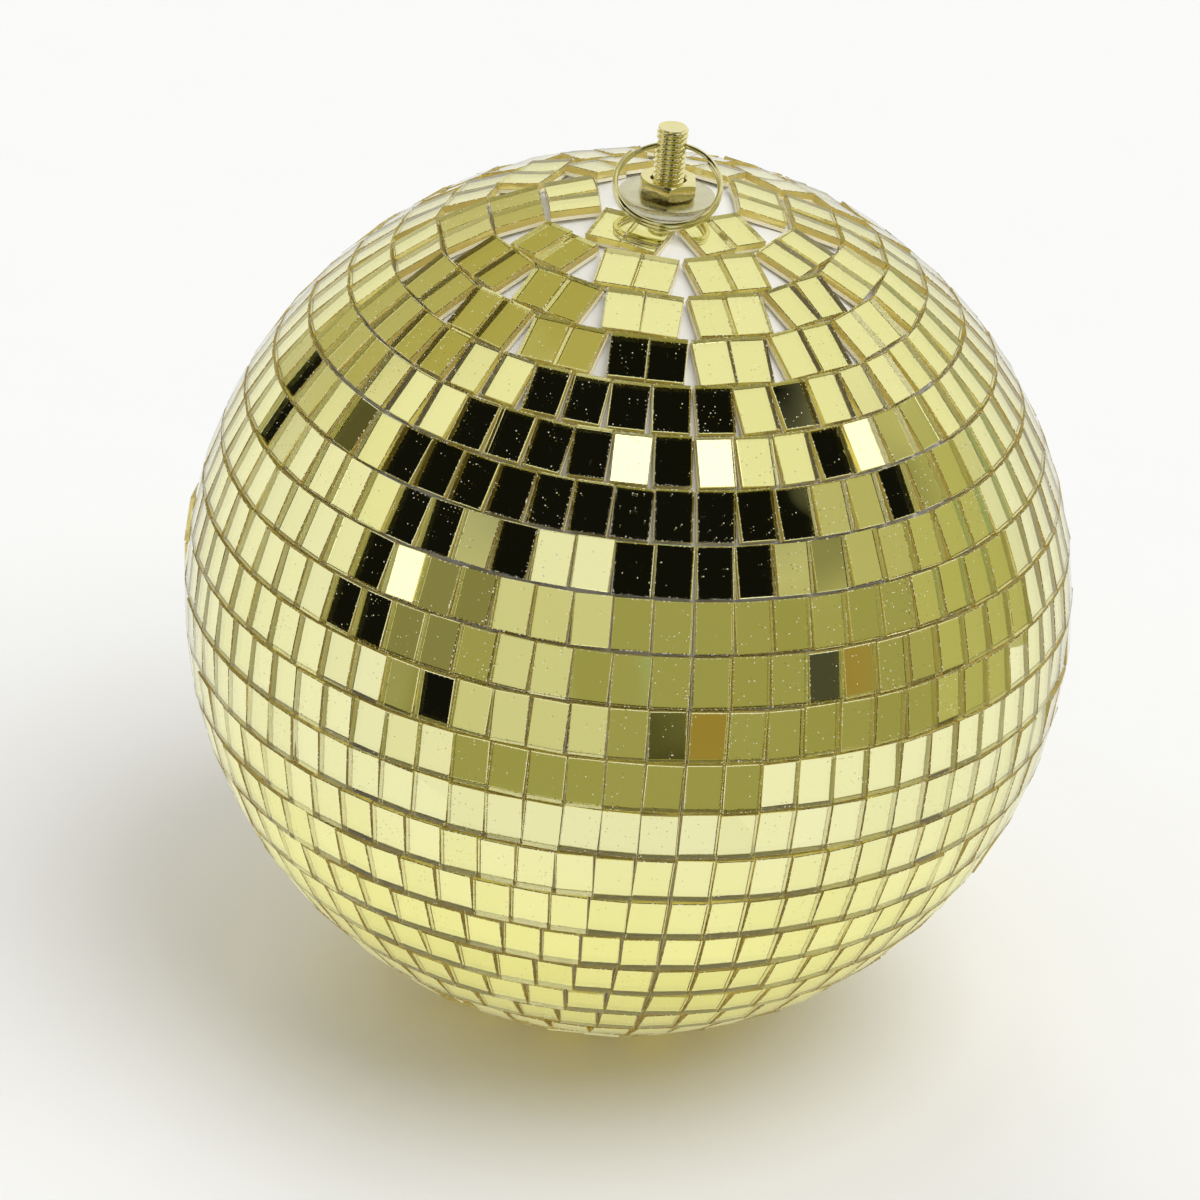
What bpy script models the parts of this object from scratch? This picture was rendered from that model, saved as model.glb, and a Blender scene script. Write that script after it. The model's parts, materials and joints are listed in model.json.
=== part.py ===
"""Gold mirror ball, hung from a drilled bolt through its crown with a split ring.

Units are metres and +Z is up. The origin is the ball's centre, and the bolt stands
along +Z. The core is two moulded half shells, lapped together at the equator. Strips
of flat glass mirror tiles are bonded round it, one strip to a row.
"""

import math

import bmesh
import bpy

MM = 0.001
FIT_GAP = 0.3 * MM               # clearance between two pieces that touch in use

# ---- Ball and tiles ------------------------------------------------------------
BALL_RADIUS = 85.0 * MM          # centre to the faces of the tiles
STRIP_THICKNESS = 2.0 * MM       # glass tile with its cloth backing
ROW_GAP = 0.5 * MM               # open joint between neighbouring rows
CROWN_OPENING_RADIUS = 13.4 * MM  # bare crown inside the first row
ROWS_PER_HALF = 12               # rows from the crown down to the equator
TILE_PITCH_ROUND = 7.1 * MM      # tile width and joint, measured round a row
STAGGER_TURNS = 0.382            # each row starts this share of a tile further round
CAP_SIDES = 12                   # sides of the disc that closes the bottom

# ---- Core ------------------------------------------------------------------------
SHELL_WALL = 1.8 * MM
SHELL_SIDES = 36                 # sides round each shell
SHELL_STEPS = 8                  # steps from the crown to the equator
SPIGOT_HEIGHT = 5.0 * MM         # lip of the lower shell inside the upper one
SPIGOT_WALL = 1.2 * MM
SPIGOT_ROOT = 4.0 * MM           # how far the lip runs down inside its own shell
SEAT_RADIUS = 11.0 * MM          # flat on the crown for the washer
BOSS_RADIUS = 13.0 * MM          # thick boss under the flat
BOSS_THICKNESS = 5.6 * MM
BOSS_DRAFT = 0.8 * MM            # how much wider the boss is where it joins the wall

# ---- Bolt, nut and washers, M6 ---------------------------------------------------
THREAD_DIAMETER = 5.9 * MM       # over the thread's crests
BOLT_LENGTH = 25.0 * MM          # under the head
HEX_ACROSS_FLATS = 10.0 * MM
HEAD_HEIGHT = 4.0 * MM
NUT_HEIGHT = 3.0 * MM
HEX_CHAMFER = 0.45 * MM          # height lost at each corner of a hexagon
BOLT_CHAMFER = 0.5 * MM
NUT_TURN = math.radians(4.0)     # how far the nut's front corner stands off -Y
CROWN_WASHER_DIAMETER = 18.0 * MM
CROWN_WASHER_THICKNESS = 1.6 * MM
LOAD_WASHER_DIAMETER = 24.0 * MM
LOAD_WASHER_THICKNESS = 1.6 * MM
SPRING_WASHER_DIAMETER = 11.0 * MM
SPRING_WASHER_THICKNESS = 1.5 * MM
SPRING_WASHER_SPLIT = math.radians(14.0)
SPRING_WASHER_RISE = 0.1 * MM    # how much one end of the split stands above the other
ROUND_SIDES = 24                 # sides of the bolt, the bores and the washers

# ---- Split ring ------------------------------------------------------------------
WIRE_DIAMETER = 1.0 * MM
RING_DIAMETER = 19.4 * MM        # through the middle of the wire
COIL_GAP = 0.04 * MM             # between the two coils
HOLE_BELOW_END = 3.5 * MM        # cross-hole's axis below the end of the bolt
HOLE_CLEARANCE = 0.35 * MM       # round the curved wire inside the cross-hole
HOLE_SIDES = 16
CROSSOVER = math.radians(48.0)   # half of the arc where the wire changes coil
RING_STEP = math.radians(12.0)   # angle from one point of the wire to the next

# ---- Sizes that follow -----------------------------------------------------------
CORE_RADIUS = BALL_RADIUS - STRIP_THICKNESS - FIT_GAP
CORE_INSIDE = CORE_RADIUS - SHELL_WALL
SOCKET_Z = SPIGOT_HEIGHT + FIT_GAP   # straight wall in the upper shell, round the lip
SOCKET_RADIUS = math.sqrt(CORE_INSIDE ** 2 - SOCKET_Z ** 2)
CROWN_ANGLE = math.asin(CROWN_OPENING_RADIUS / BALL_RADIUS)
ROW_ANGLE = (math.pi / 2.0 - CROWN_ANGLE) / ROWS_PER_HALF
BORE_RADIUS = THREAD_DIAMETER / 2.0 + FIT_GAP

SEAT_Z = math.sqrt(CORE_RADIUS ** 2 - SEAT_RADIUS ** 2)
CROWN_WASHER_Z = SEAT_Z + FIT_GAP
NUT_Z = CROWN_WASHER_Z + CROWN_WASHER_THICKNESS + FIT_GAP
BOSS_Z = SEAT_Z - BOSS_THICKNESS
LOAD_WASHER_Z = BOSS_Z - FIT_GAP - LOAD_WASHER_THICKNESS
SPRING_WASHER_Z = LOAD_WASHER_Z - FIT_GAP - SPRING_WASHER_THICKNESS - SPRING_WASHER_RISE
BOLT_SEAT_Z = SPRING_WASHER_Z - FIT_GAP
BOLT_END_Z = BOLT_SEAT_Z + BOLT_LENGTH
HOLE_Z = BOLT_END_Z - HOLE_BELOW_END

COIL_OFFSET = (WIRE_DIAMETER + COIL_GAP) / 2.0
WIRE_SAG = RING_DIAMETER / 2.0 - math.sqrt((RING_DIAMETER ** 2 - THREAD_DIAMETER ** 2) / 4.0)
HOLE_RADIUS = WIRE_DIAMETER / 2.0 + WIRE_SAG + HOLE_CLEARANCE


def ring_rest_angle():
    """Angle below level at which the ring's far side lies just above the first row."""
    face_angle = CROWN_ANGLE + ROW_ANGLE / 2.0
    height = HOLE_Z * math.cos(face_angle) - BALL_RADIUS - WIRE_DIAMETER / 2.0 - FIT_GAP
    reach = math.hypot(RING_DIAMETER, COIL_OFFSET)
    return face_angle + math.asin(height / reach) - math.atan2(COIL_OFFSET, RING_DIAMETER)


# ---- Materials -------------------------------------------------------------------
def finish(name, colour, roughness, metallic):
    material = bpy.data.materials.new(name)
    material.use_nodes = True
    shader = material.node_tree.nodes["Principled BSDF"]
    shader.inputs["Base Color"].default_value = (*colour, 1.0)
    shader.inputs["Roughness"].default_value = roughness
    shader.inputs["Metallic"].default_value = metallic
    material.diffuse_color = (*colour, 1.0)
    return material


def make_finishes():
    return {
        "gold_mirror": finish("gold_mirror", (0.88, 0.78, 0.34), 0.05, 1.0),
        "white_shell": finish("white_shell", (0.86, 0.86, 0.84), 0.45, 0.0),
        "zinc_yellow": finish("zinc_yellow", (0.74, 0.70, 0.46), 0.25, 1.0),
        "zinc_bright": finish("zinc_bright", (0.76, 0.75, 0.70), 0.20, 1.0),
        "ring_steel": finish("ring_steel", (0.72, 0.70, 0.58), 0.18, 1.0),
    }


# ---- Tools -----------------------------------------------------------------------
def add_object(name, mesh, material=None):
    obj = bpy.data.objects.new(name, mesh)
    bpy.context.scene.collection.objects.link(obj)
    if material is not None:
        mesh.materials.append(material)
    return obj


def shade_round(mesh):
    mesh.shade_smooth()
    mesh.set_sharp_from_angle(angle=math.radians(30.0))


def spun_mesh(name, outline, sides, start=0.0):
    """Turn an outline of (radius, height) points a whole turn round +Z.

    The outline runs round the section. Where both its ends lie on the axis it is left
    open there, and otherwise it is closed.
    """
    build = bmesh.new()
    points = [build.verts.new((r * math.cos(start), r * math.sin(start), z)) for r, z in outline]
    edges = [build.edges.new(pair) for pair in zip(points, points[1:])]
    if outline[0][0] > 0.0 or outline[-1][0] > 0.0:
        edges.append(build.edges.new((points[-1], points[0])))
    bmesh.ops.spin(build, geom=points + edges, cent=(0, 0, 0), axis=(0, 0, 1),
                   angle=math.tau, steps=sides, use_merge=True)
    bmesh.ops.remove_doubles(build, verts=build.verts[:], dist=0.001 * MM)
    bmesh.ops.recalc_face_normals(build, faces=build.faces[:])
    mesh = bpy.data.meshes.new(name)
    build.to_mesh(mesh)
    build.free()
    return mesh


def turned(name, outline, sides, material=None, start=0.0):
    mesh = spun_mesh(name, outline, sides, start)
    shade_round(mesh)
    return add_object(name, mesh, material)


def hide_cutter(obj):
    obj.hide_render = True
    obj.display_type = "WIRE"


def combine(obj, other, operation):
    """Cut, join or intersect obj with other, which stays hidden as a construction body."""
    hide_cutter(other)
    modifier = obj.modifiers.new(other.name, "BOOLEAN")
    modifier.operation = operation
    modifier.solver = "EXACT"
    modifier.object = other


def arc(radius, start, stop, steps):
    """Points of a circle in the outline's plane, at angles measured from +Z."""
    angles = [start + (stop - start) * i / steps for i in range(steps + 1)]
    return [(radius * math.sin(a), radius * math.cos(a)) for a in angles]


def washer_outline(outer_radius, bore_radius, bottom, thickness):
    top = bottom + thickness
    return [(bore_radius, bottom), (outer_radius, bottom), (outer_radius, top), (bore_radius, top)]


# ---- Core ------------------------------------------------------------------------
def upper_shell(material):
    rim_z = FIT_GAP / 2.0
    seat_angle = math.asin(SEAT_RADIUS / CORE_RADIUS)
    boss_top_radius = BOSS_RADIUS + BOSS_DRAFT
    outside = arc(CORE_RADIUS, math.acos(rim_z / CORE_RADIUS), seat_angle, SHELL_STEPS)
    boss = [(BORE_RADIUS, SEAT_Z), (BORE_RADIUS, BOSS_Z), (BOSS_RADIUS, BOSS_Z)]
    inside = arc(CORE_INSIDE, math.asin(boss_top_radius / CORE_INSIDE),
                 math.acos(SOCKET_Z / CORE_INSIDE), SHELL_STEPS)
    socket = [(SOCKET_RADIUS, rim_z)]
    return turned("core_upper_shell", outside + boss + inside + socket, SHELL_SIDES, material)


def lower_shell(material):
    rim_z = -FIT_GAP / 2.0
    lip_outside = SOCKET_RADIUS - FIT_GAP
    lip_inside = lip_outside - SPIGOT_WALL
    root_angle = math.acos(-SPIGOT_ROOT / CORE_INSIDE)
    outside = arc(CORE_RADIUS, math.pi, math.acos(rim_z / CORE_RADIUS), SHELL_STEPS)
    lip = [(lip_outside, rim_z), (lip_outside, SPIGOT_HEIGHT), (lip_inside, SPIGOT_HEIGHT),
           (lip_inside, -SPIGOT_ROOT / 2.0)]
    inside = arc(CORE_INSIDE, root_angle, math.pi, SHELL_STEPS)
    outline = outside + lip + inside
    outline[0] = (0.0, -CORE_RADIUS)
    outline[-1] = (0.0, -CORE_INSIDE)
    return turned("core_lower_shell", outline, SHELL_SIDES, material)


# ---- Tile rows -------------------------------------------------------------------
def tiles_in_row(row):
    """Tiles that fit round the edge of a row that is nearer to its pole."""
    edge_angle = CROWN_ANGLE + row * ROW_ANGLE
    return round(math.tau * BALL_RADIUS * math.sin(edge_angle) / TILE_PITCH_ROUND)


def strip_section(row, sides):
    """Section through the middle of a tile, for a row of the upper half.

    The tile's face touches the ball's sphere at the row's middle angle. Its edge away
    from the pole is set back, so that the corners between tiles clear the next row.
    """
    middle_angle = CROWN_ANGLE + (row + 0.5) * ROW_ANGLE
    pole_side = BALL_RADIUS * math.tan(ROW_ANGLE / 2.0) - ROW_GAP / 2.0
    edge_radius = BALL_RADIUS * math.sin(middle_angle + ROW_ANGLE / 2.0)
    overhang = edge_radius * (1.0 / math.cos(math.pi / sides) - 1.0) * math.cos(middle_angle)
    section = []
    for distance, along in ((BALL_RADIUS, -pole_side), (BALL_RADIUS, pole_side - overhang),
                            (BALL_RADIUS - STRIP_THICKNESS, pole_side - overhang),
                            (BALL_RADIUS - STRIP_THICKNESS, -pole_side)):
        along *= distance / BALL_RADIUS
        section.append((distance * math.sin(middle_angle) + along * math.cos(middle_angle),
                        distance * math.cos(middle_angle) - along * math.sin(middle_angle)))
    return section


def tile_row(number, row, half, material):
    """A ring with one flat for each tile. half is 1 above the equator and -1 below it."""
    name = f"tile_row_{number:02d}"
    sides = tiles_in_row(row)
    to_corner = 1.0 / math.cos(math.pi / sides)
    section = [(r * to_corner, z * half) for r, z in strip_section(row, sides)]
    start = -math.pi / 2.0 + math.pi / sides + (number - 1) * STAGGER_TURNS * math.tau / sides
    return add_object(name, spun_mesh(name, section, sides, start), material)


def tile_rows(material):
    """Rows numbered from the crown down. The first row has a tile facing -Y."""
    for row in range(ROWS_PER_HALF):
        tile_row(row + 1, row, 1, material)
    for row in range(ROWS_PER_HALF):
        tile_row(2 * ROWS_PER_HALF - row, row, -1, material)


def bottom_cap(material):
    """Flat disc of tiles that fills the opening inside the last row."""
    radius = min(r for r, _ in strip_section(0, tiles_in_row(0))) - ROW_GAP
    bottom, top = -BALL_RADIUS, -(BALL_RADIUS - STRIP_THICKNESS)
    outline = [(0.0, bottom), (radius, bottom), (radius, top), (0.0, top)]
    return add_object("tile_cap_bottom", spun_mesh("tile_cap_bottom", outline, CAP_SIDES), material)


# ---- Bolt, nut and washers -------------------------------------------------------
def hexagon(name, bottom, height, turn, material=None):
    """Hexagonal prism with a corner facing -Y and its corners chamfered at both ends."""
    corner = HEX_ACROSS_FLATS / 2.0 / math.cos(math.pi / 6.0)
    flat = HEX_ACROSS_FLATS / 2.0
    top = bottom + height
    prism = [(0.0, bottom), (corner, bottom), (corner, top), (0.0, top)]
    mesh = spun_mesh(name, prism, 6, turn - math.pi / 2.0)
    body = add_object(name, mesh, material)
    blank = turned(name + "_chamfer",
                   [(0.0, bottom), (flat, bottom), (corner, bottom + HEX_CHAMFER),
                    (corner + MM, bottom + HEX_CHAMFER), (corner + MM, top - HEX_CHAMFER),
                    (corner, top - HEX_CHAMFER), (flat, top), (0.0, top)], ROUND_SIDES)
    combine(body, blank, "INTERSECT")
    return body


def hanger_bolt(material):
    radius = THREAD_DIAMETER / 2.0
    head = hexagon("hanger_bolt", BOLT_SEAT_Z - HEAD_HEIGHT, HEAD_HEIGHT, 0.0, material)
    shank = turned("hanger_bolt_shank",
                   [(0.0, BOLT_SEAT_Z - HEAD_HEIGHT / 2.0), (radius, BOLT_SEAT_Z - HEAD_HEIGHT / 2.0),
                    (radius, BOLT_END_Z - BOLT_CHAMFER), (radius - BOLT_CHAMFER, BOLT_END_Z),
                    (0.0, BOLT_END_Z)], ROUND_SIDES)
    combine(head, shank, "UNION")
    drill = turned("hanger_bolt_drill",
                   [(0.0, -THREAD_DIAMETER), (HOLE_RADIUS, -THREAD_DIAMETER),
                    (HOLE_RADIUS, THREAD_DIAMETER), (0.0, THREAD_DIAMETER)], HOLE_SIDES)
    drill.location.z = HOLE_Z
    drill.rotation_euler.y = math.pi / 2.0
    combine(head, drill, "DIFFERENCE")
    return head


def crown_nut(material):
    nut = hexagon("crown_nut", NUT_Z, NUT_HEIGHT, NUT_TURN, material)
    bore = turned("crown_nut_bore",
                  [(0.0, NUT_Z - MM), (BORE_RADIUS, NUT_Z - MM),
                   (BORE_RADIUS, NUT_Z + NUT_HEIGHT + MM), (0.0, NUT_Z + NUT_HEIGHT + MM)], ROUND_SIDES)
    combine(nut, bore, "DIFFERENCE")
    return nut


def washers(finishes):
    turned("crown_washer", washer_outline(CROWN_WASHER_DIAMETER / 2.0, BORE_RADIUS, CROWN_WASHER_Z,
                                          CROWN_WASHER_THICKNESS), ROUND_SIDES, finishes["zinc_bright"])
    turned("load_washer", washer_outline(LOAD_WASHER_DIAMETER / 2.0, BORE_RADIUS, LOAD_WASHER_Z,
                                         LOAD_WASHER_THICKNESS), ROUND_SIDES, finishes["zinc_bright"])


def spring_washer(material):
    """One turn of square wire with an open split, rising a little from end to end."""
    build = bmesh.new()
    section = washer_outline(SPRING_WASHER_DIAMETER / 2.0, BORE_RADIUS, SPRING_WASHER_Z,
                             SPRING_WASHER_THICKNESS)
    points = [build.verts.new((r, 0.0, z)) for r, z in section]
    first = build.faces.new(points)
    bmesh.ops.spin(build, geom=[first], cent=(0, 0, 0), axis=(0, 0, 1),
                   angle=math.tau - SPRING_WASHER_SPLIT, steps=ROUND_SIDES,
                   dvec=(0, 0, SPRING_WASHER_RISE / ROUND_SIDES))
    bmesh.ops.recalc_face_normals(build, faces=build.faces[:])
    mesh = bpy.data.meshes.new("spring_washer")
    build.to_mesh(mesh)
    build.free()
    shade_round(mesh)
    return add_object("spring_washer", mesh, material)


# ---- Split ring ------------------------------------------------------------------
def ring_wire_points():
    """Middle of the wire, with the cross-hole's axis along X at the origin.

    The ring hangs along -Y in its own plane. The wire starts on the lower coil just
    past the crossover, goes round, changes coil inside the cross-hole, and goes round
    again on the upper coil.
    """
    total = 2.0 * math.tau - 2.0 * CROSSOVER
    steps = math.ceil(total / RING_STEP)
    radius = RING_DIAMETER / 2.0
    points = []
    for i in range(steps + 1):
        travel = total * i / steps
        past_middle = travel - total / 2.0
        share = max(-1.0, min(1.0, past_middle / CROSSOVER))
        side = math.sin(share * math.pi / 2.0) * COIL_OFFSET
        points.append((radius * math.sin(past_middle), radius * (math.cos(past_middle) - 1.0), side))
    return points


def split_ring(material):
    curve = bpy.data.curves.new("split_ring", "CURVE")
    curve.dimensions = "3D"
    curve.bevel_depth = WIRE_DIAMETER / 2.0
    curve.bevel_resolution = 2
    curve.use_fill_caps = True
    points = ring_wire_points()
    spline = curve.splines.new("POLY")
    spline.points.add(len(points) - 1)
    for knot, place in zip(spline.points, points):
        knot.co = (*place, 1.0)
    ring = add_object("split_ring", curve, None)
    curve.materials.append(material)
    pivot = bpy.data.objects.new("ring_pivot", None)
    bpy.context.scene.collection.objects.link(pivot)
    pivot.location.z = HOLE_Z
    pivot.rotation_euler.x = ring_rest_angle()
    ring.parent = pivot
    return ring


def build():
    for obj in list(bpy.data.objects):
        bpy.data.objects.remove(obj, do_unlink=True)
    finishes = make_finishes()
    upper_shell(finishes["white_shell"])
    lower_shell(finishes["white_shell"])
    tile_rows(finishes["gold_mirror"])
    bottom_cap(finishes["gold_mirror"])
    hanger_bolt(finishes["zinc_yellow"])
    crown_nut(finishes["zinc_yellow"])
    washers(finishes)
    spring_washer(finishes["zinc_bright"])
    split_ring(finishes["ring_steel"])


build()
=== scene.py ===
import json
import math

import bmesh
import bpy
from mathutils import Matrix, Vector


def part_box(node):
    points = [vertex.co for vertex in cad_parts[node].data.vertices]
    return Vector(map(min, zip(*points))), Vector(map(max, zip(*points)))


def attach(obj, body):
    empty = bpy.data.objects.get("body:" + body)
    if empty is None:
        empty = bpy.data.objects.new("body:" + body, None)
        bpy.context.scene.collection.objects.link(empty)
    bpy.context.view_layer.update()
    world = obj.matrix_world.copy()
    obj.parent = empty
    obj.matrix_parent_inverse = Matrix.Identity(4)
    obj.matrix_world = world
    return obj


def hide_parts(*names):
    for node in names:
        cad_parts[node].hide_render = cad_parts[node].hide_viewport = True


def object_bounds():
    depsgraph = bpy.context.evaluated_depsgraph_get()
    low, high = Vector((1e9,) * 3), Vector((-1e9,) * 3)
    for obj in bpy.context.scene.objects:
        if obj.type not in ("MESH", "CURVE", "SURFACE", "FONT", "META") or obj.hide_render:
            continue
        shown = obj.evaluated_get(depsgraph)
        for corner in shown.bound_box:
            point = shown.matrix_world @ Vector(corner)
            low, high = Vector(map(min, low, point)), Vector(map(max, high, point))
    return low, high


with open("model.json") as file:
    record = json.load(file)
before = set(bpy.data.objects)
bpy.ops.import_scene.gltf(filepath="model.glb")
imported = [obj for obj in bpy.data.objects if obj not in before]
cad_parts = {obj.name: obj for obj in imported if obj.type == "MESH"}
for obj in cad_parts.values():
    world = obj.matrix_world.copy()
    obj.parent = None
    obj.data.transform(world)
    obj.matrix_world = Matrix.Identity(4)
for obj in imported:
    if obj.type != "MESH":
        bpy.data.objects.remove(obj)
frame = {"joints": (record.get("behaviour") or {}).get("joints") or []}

MM = 0.001
cad_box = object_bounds()

# ---- Places read from the frame --------------------------------------------------
cap_low, cap_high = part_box("tile_cap_bottom")
bolt_low, bolt_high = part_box("hanger_bolt")
nut_low, nut_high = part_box("crown_nut")
washer_low, washer_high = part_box("crown_washer")
load_low, load_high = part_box("load_washer")
spring_low, spring_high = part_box("spring_washer")
swing = next(joint for joint in frame["joints"] if joint["name"] == "ring_swing")

BALL_RADIUS = -cap_low.z                  # centre to the faces of the tiles
STRIP_THICKNESS = cap_high.z - cap_low.z  # glass and backing
CORE_RADIUS = -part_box("core_lower_shell")[0].z
SEAT_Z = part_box("core_upper_shell")[1].z  # flat on the crown under the washer
HOLE = Vector(swing["pos_m"])             # middle of the cross-hole

# ---- Tiles -----------------------------------------------------------------------
ROWS_PER_HALF = 12
CROWN_OPENING = math.radians(9.07)        # polar angle where the first row starts
ROW_ANGLE = (math.pi / 2 - CROWN_OPENING) / ROWS_PER_HALF
TILE_HEIGHT = 9.45 * MM
TILE_WIDTH = 6.84 * MM
TILE_JOINT = 0.22 * MM                    # between tiles of one straight run
TILE_PITCH = 7.1 * MM                     # tile and joint, round a row's tighter edge
GLASS = 1.35 * MM
GLUE_FILM = 0.02 * MM                     # between the mirror and its backing
BACKING = STRIP_THICKNESS - GLASS - GLUE_FILM
ARRIS = 0.10 * MM                         # ground edge round the face of a tile
SEAM_TURN = math.radians(9.0 - 90.0)      # where the strips' ends meet, 9 degrees off -Y
SEAM_GAP = 0.2 * MM                       # between the ends of one strip, beyond its joints
PAIRED_SEAM_GAP = -0.4 * MM               # there the ends come closer than the pairs do
CROWN_INSET = 0.8 * MM / BALL_RADIUS      # the first row creeps in toward the washer
PAIRED_ROWS = 4                           # rows by each pole laid in straight pairs
# Random lean and twist of a run, and of each tile in it, up to these degrees.
POLE_TILT, PAIRED_TILT, SINGLE_TILT = 6.0, 2.6, 1.5
POLE_TWIST, ROW_TWIST = 4.0, 1.4
NUDGE = 0.14 * MM                         # largest random shift of a tile
SEED_STEP = 11                            # from row to row
TILE_SEED, NUDGE_SEED = 7.0, 19.0         # added to the row's seed for its other draws
LOOSE_TILES = {12: 53, 13: 53}            # row number: index of a tile that stands proud
LOOSE_LIFT = 1.1 * MM
PATCH_TILES, PATCH_TILT, PATCH_SEED = 4, 1.5, 5  # over the lower pole

# ---- Core ------------------------------------------------------------------------
SHELL_WALL = 1.8 * MM
SHELL_INSIDE = CORE_RADIUS - SHELL_WALL
FIT_GAP = 0.3 * MM                        # clearance between two pieces
SEAT_RADIUS = 11.0 * MM                   # flat on the crown under the washer
BOSS_RADIUS = 13.0 * MM
BOSS_THICKNESS = 5.6 * MM
BOSS_DRAFT = 0.8 * MM                     # how much wider the boss is at the wall
LIP_HEIGHT = 5.0 * MM                     # lip of the lower shell inside the upper one
LIP_WALL = 1.2 * MM
LIP_ROOT = 4.0 * MM                       # how far below the joint the lip's sloping root ends
OUTSIDE_STEPS, INSIDE_STEPS = 48, 32      # from rim to pole

# ---- Bolt, nut and washers, M6 ---------------------------------------------------
CREST_RADIUS = 2.95 * MM
THREAD_DEPTH = 0.50 * MM
THREAD_PITCH = 1.0 * MM
CREST_ROUNDING = 0.6                      # power of the wave: below 1 makes wide crests
STUD_SIDES, LEVELS_PER_PITCH = 56, 14
STUD_END_RADIUS = 2.66 * MM
STUD_POINT_SLOPE = 0.6                    # how fast the chamfered end widens
END_FACE_INSET, END_FACE_SINK = 0.22 * MM, 0.05 * MM
HOLE_RADIUS = 1.31 * MM                   # cross-hole for the split ring
BORE_RADIUS = CREST_RADIUS + FIT_GAP      # holes that the bolt passes through
HEAD_HEIGHT = 4.0 * MM
HEX_ACROSS_FLATS = 10.0 * MM
HEX_CHAMFER = 0.45 * MM                   # height lost at each corner of a hexagon
NUT_TURN = math.radians(4.0)              # how far the nut's front corner stands off -Y
NUT_SINK = 0.35 * MM                      # depth of the countersink at each end
NUT_BEVEL = 0.06 * MM
EASED = 0.15 * MM                         # rounded edge of a stamped washer
WASHER_SPLIT = math.radians(14.0)         # opening in the spring washer
WASHER_RISE = 0.1 * MM                    # of the spring washer, from end to end

# ---- Split ring ------------------------------------------------------------------
WIRE_DIAMETER = 1.0 * MM
RING_DIAMETER = 19.4 * MM                 # through the middle of the wire
COIL_OFFSET = 0.52 * MM                   # each coil's distance from the ring's middle
CROSSOVER = math.radians(48.0)            # half of the arc where the wire changes coil
RING_REST = math.radians(28.18)           # how far below level the ring lies
WIRE_POINTS, WIRE_SIDES = 240, 20


# ---- Node helpers ----------------------------------------------------------------
def put(tree, socket, value):
    if isinstance(value, bpy.types.NodeSocket):
        tree.links.new(value, socket)
    else:
        socket.default_value = value


def add_node(tree, kind, inputs=None, **settings):
    node = tree.nodes.new(kind)
    for name, value in settings.items():
        setattr(node, name, value)
    for key, value in (inputs or {}).items():
        put(tree, node.inputs[key], value)
    return node


def calc(tree, operation, *values):
    return add_node(tree, "ShaderNodeMath", dict(enumerate(values)), operation=operation).outputs[0]


def vector_calc(tree, operation, *values):
    return add_node(tree, "ShaderNodeVectorMath", dict(enumerate(values)),
                    operation=operation).outputs["Vector"]


def point_at(tree, x, y, z):
    return add_node(tree, "ShaderNodeCombineXYZ", {0: x, 1: y, 2: z}).outputs[0]


def axes_of(tree, vector):
    return add_node(tree, "ShaderNodeSeparateXYZ", {0: vector}).outputs


def ramp(tree, value, low, high, low_out=0.0, high_out=1.0):
    return add_node(tree, "ShaderNodeMapRange",
                    {"Value": value, "From Min": low, "From Max": high,
                     "To Min": low_out, "To Max": high_out}).outputs[0]


def mix_colour(tree, share, first, second):
    node = add_node(tree, "ShaderNodeMix", {0: share, 6: first, 7: second}, data_type="RGBA")
    return node.outputs[2]


def new_tree(name, kind, inputs, output):
    tree = bpy.data.node_groups.new(name, kind)
    for label, socket_type in inputs:
        tree.interface.new_socket(label, in_out="INPUT", socket_type=socket_type)
    tree.interface.new_socket(output[0], in_out="OUTPUT", socket_type=output[1])
    return tree, tree.nodes.new("NodeGroupInput").outputs


def end_tree(tree, result):
    tree.links.new(result, tree.nodes.new("NodeGroupOutput").inputs[0])
    return tree


# ---- Materials -------------------------------------------------------------------
def new_finish(name, **sockets):
    """A Principled material, with its even values set on the shader's own sockets."""
    material = bpy.data.materials.new(name)
    material.use_nodes = True
    shader = material.node_tree.nodes["Principled BSDF"]
    for socket, value in sockets.items():
        shader.inputs[socket.replace("_", " ")].default_value = value
    return material, material.node_tree, shader


def noise(tree, place, scale, detail=2.0):
    return add_node(tree, "ShaderNodeTexNoise",
                    {"Vector": place, "Scale": scale, "Detail": detail}).outputs[0]


def object_place(tree):
    return add_node(tree, "ShaderNodeTexCoord").outputs["Object"]


def bump(tree, shader, height, distance):
    node = add_node(tree, "ShaderNodeBump", {"Height": height, "Distance": distance})
    tree.links.new(node.outputs[0], shader.inputs["Normal"])


def tile_attributes(tree):
    """Place on the tile in its own axes, and a random share that each tile carries."""
    place = add_node(tree, "ShaderNodeAttribute", attribute_name="tile_place").outputs["Vector"]
    share = add_node(tree, "ShaderNodeAttribute", attribute_name="tile_shade").outputs["Fac"]
    return place, share


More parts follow.
